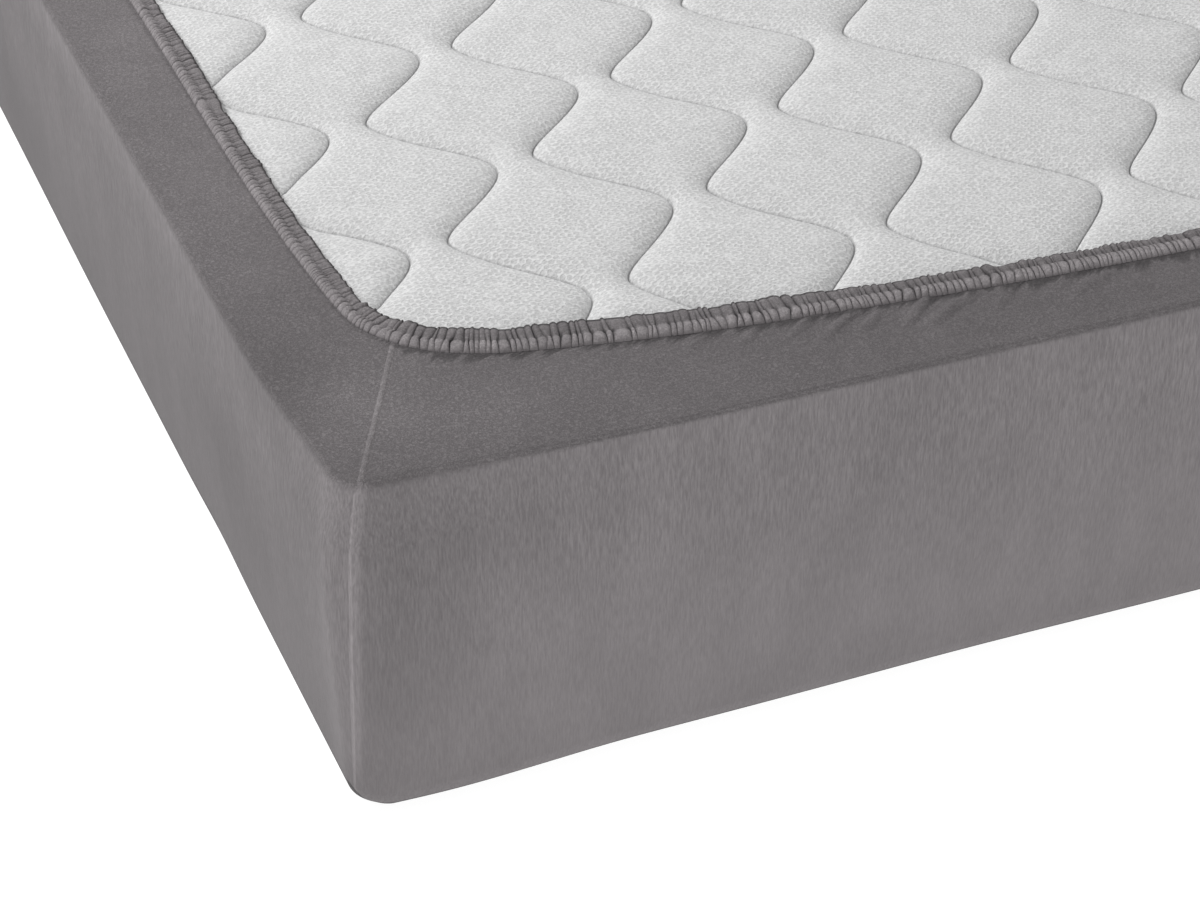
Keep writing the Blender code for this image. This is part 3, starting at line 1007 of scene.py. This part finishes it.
elastic = {
    "seed": 21,
    "ribWidth": 0.0047,
    "cornerRibWidth": 0.0055,  # wider near the corners of the short sides
    "unevenWidth": 0.36,
    "ribDepth": 0.0022,
    # how much further in the frill's edge reaches along the front, in millimetres, at these places
    "frontFrill": (
        (-0.66, -0.62, -0.50, -0.32, -0.22, -0.10, 0.05, 0.18),
        (0.5, 3.0, 3.8, 2.8, 0.2, -1.8, -2.0, 0),
    ),
    # how much lighter the long sides' elastic is painted, with a painted highlight on its ridge and painted
    # shade at its foot, by the share of the way across
    "longSidePaintedLight": ((0, 0.08, 0.20, 0.36, 0.60, 0.74, 1.05), (0.46, 0.96, 0.99, 0.88, 0.98, 1.12, 1.16)),
    "wander": (0.14, 0.24, 0.24),  # how far a gather strays sideways at its foot, its top and on the frill
    # the section, from the outer foot over the roll and the stitched groove to the frill's edge and
    # back: inward reach, height above the mattress's face, depth and painted shade of the gathers there,
    # painted shade beside them and further off, share of the way across, how far foot, top and frill stray,
    # painted lightness
    "section": (
        (-0.0038, 0.0021, 0.22, 0.60, 0.05, 0.00, 0.00, 1.0, 0.0, 0.0, 2.32),
        (-0.0030, 0.0037, 0.60, 0.85, 0.15, 0.00, 0.08, 0.8, 0.2, 0.0, 2.32),
        (-0.0012, 0.0056, 0.90, 0.95, 0.25, 0.00, 0.20, 0.5, 0.5, 0.0, 2.20),
        (0.0018, 0.0070, 1.10, 1.00, 0.36, 0.00, 0.38, 0.1, 0.9, 0.0, 2.08),
        (0.0050, 0.0068, 1.30, 1.00, 0.62, 0.06, 0.55, 0.0, 1.0, 0.0, 1.92),
        (0.0076, 0.0050, 0.95, 1.00, 0.84, 0.28, 0.66, 0.0, 0.9, 0.1, 1.55),
        (0.0096, 0.0058, 0.90, 0.85, 0.45, 0.08, 0.74, 0.0, 0.4, 0.6, 1.45),
        (0.0140, 0.0064, 0.80, 0.65, 0.22, 0.00, 0.87, 0.0, 0.0, 1.0, 1.45),
        (0.0172, 0.0056, 0.42, 0.50, 0.10, 0.00, 1.00, 0.0, 0.0, 1.0, 1.30),
        (0.0168, 0.0044, 0.12, 0.50, 0.10, 0.00, 1.05, 0.0, 0.0, 1.0, 1.00),
        (0.0085, 0.0008, 0.00, 0.00, 0.00, 0.00, 0.50, 0.0, 0.0, 0.0, 1.00),
        (-0.0034, 0.0006, 0.00, 0.00, 0.00, 0.00, 0.25, 0.0, 0.0, 0.0, 1.00),
    ),
}


def ribStations():
    # where each gather begins along the elastic
    rng = np.random.default_rng(elastic["seed"])
    starts = [0.0]
    while starts[-1] < hemAround:
        place, inward = onHem(np.array([min(starts[-1], hemAround)]))
        x, y = abs(place[0, 0]), abs(place[0, 1])
        short = abs(inward[0, 1]) > abs(inward[0, 0])
        onLong = 0.25 * math.exp(-(((0.9 - y) / 0.10) ** 2))
        near = math.exp(-(((0.6 - x) / 0.42) ** 2)) if short else onLong
        width = elastic["ribWidth"] + (elastic["cornerRibWidth"] - elastic["ribWidth"]) * near
        starts.append(starts[-1] + width * math.exp(rng.normal(0, elastic["unevenWidth"])))
    return np.array(starts) * hemAround / starts[-1]


def elasticBand():
    starts = ribStations()
    width = np.diff(starts)
    gathers = len(width)
    phases = np.array([0, 0.09, 0.26, 0.50, 0.74, 0.91])
    along = np.append((starts[:-1, None] + width[:, None] * phases).ravel(), hemAround)
    phase = np.append(np.tile(phases, gathers), 0.0)
    number = np.append(np.repeat(np.arange(gathers), len(phases)), 0)
    following = (number + 1) % gathers
    section = np.array(elastic["section"])
    section = np.concatenate([section, section[:1]])
    columns = (c[:, None] for c in section.T)
    reach, height, depth, shade, beside, further, across, foot, top, frill, light = columns
    rng = np.random.default_rng(elastic["seed"] + 1)
    # every valley between two gathers has its own depth on the roll and on the frill
    onRoll = rng.uniform(0.5, 1.25, gathers)
    onFrill = rng.uniform(0.1, 1.2, gathers)
    puff = rng.uniform(-0.4, 1.0, gathers)

    def between(values):
        # from the valley before a gather to the one after it
        return values[number] * (1 - phase) + values[following] * phase

    middle, facing = onHem(along)
    longSide = eased(np.abs(facing[:, 0]), 0.5, 0.9)
    nearest = np.where(phase < 0.5, number, following)
    strength = onRoll[nearest] * (1 - frill) * (1 - 0.4 * longSide)
    strength = strength + onFrill[nearest] * frill * (1 - 0.25 * longSide)
    crest = np.sin(math.pi * phase) ** 0.45
    crest = np.where(phase == 0, 0.0, crest)
    room = np.minimum(width, np.roll(width, 1))
    drop = elastic["ribDepth"] * np.sqrt(room[number] / 0.0045) * (1 - crest) * strength * depth
    # the section's own inward direction at each of its points, which on the frill is straight down
    toMiddle = np.array([0.0045, 0.0030]) - section[:, :2]
    toMiddle[6:9] = (0, -0.001)
    toMiddle /= np.linalg.norm(toMiddle, axis=1)[:, None]
    turnShare = along / hemAround
    puffed = puff[number] * np.sin(math.pi * phase)
    ragged = 0.0014 * easedNoise(turnShare, 260, 31) + 0.0006 * easedNoise(turnShare, 700, 32)
    ragged = ragged + 0.0005 * puffed
    loose = 0.0007 * easedNoise(turnShare, 420, 33) + 0.0009 * puffed
    wider = np.interp(middle[:, 0], *elastic["frontFrill"]) * 0.001
    ragged = ragged + np.where(middle[:, 1] < -0.8, wider, 0.0)
    edge = np.clip((across - 0.70) / 0.30, 0, 1) * (frill > 0)
    reach = reach + longSide * (0.0020 - 0.0032 * across)  # narrower on the long sides
    reach = reach + drop * toMiddle[:, 0:1] + edge * ragged
    height = height + drop * toMiddle[:, 1:2] + frill * loose
    # gathers stray a little, and lean much as their neighbours do
    stray = [room * elastic["wander"][k] * rng.normal(0, 1, gathers).clip(-1.6, 1.6) for k in (0, 1, 2)]
    lean = 0.0014 * easedNoise(turnShare, 260, 34) * (across - 0.5) * (frill + top + foot > 0)
    shifted = along + lean + foot * between(stray[0]) + top * between(stray[1])
    shifted = shifted + frill * between(0.5 * stray[1] + stray[2])
    place, inward = onHem(np.mod(shifted, hemAround))
    plan = place + inward * reach[..., None]
    base = block["topFace"] + block["slack"]
    points = np.concatenate([plan, (base + height)[..., None]], axis=-1)
    points[:, -1] = points[:, 0]
    # painted shade between the gathers, darkest in the valleys
    off = np.minimum(phase, 1 - phase)
    valley = np.where(off < 0.3, further, 0.6 * further)
    valley = np.where(off < 0.01, shade, np.where(off < 0.1, beside, valley))
    # the painted shade is softer on the long sides, but for small dark dots of painted shade along the foot
    softer = 1 - longSide * (0.3 - 0.9 * (across < 0.1))
    valley = np.clip(valley * (0.25 + 0.75 * strength) * softer, 0, 1)
    mesh, row, column = clothGrid("elasticBand", len(along) - 1, len(section) - 1, points)
    # painted light and shade across the band, from the section's lightness and the long sides' table, times
    # a random tone for each gather
    onLong = np.interp(across, *elastic["longSidePaintedLight"])
    tone = 1.02 * light * (1 + (onLong - 1) * longSide)
    tone = tone * rng.uniform(0.93, 1.07, gathers)[number]
    addMap(mesh, "gathers", valley[row, column], np.broadcast_to(across, valley.shape)[row, column])
    addMap(mesh, "tone", tone[row, column], longSide[column])
    bm = bmesh.new()
    bm.from_mesh(mesh)
    bmesh.ops.remove_doubles(bm, verts=bm.verts, dist=1e-7)
    bm.to_mesh(mesh)
    bm.free()
    piece = finished("elasticBand", mesh, gatheredJersey)
    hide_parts("elastic_band")
    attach(piece, "root")
    return piece


bandPart = elasticBand()
print("the elastic edge is gathered")
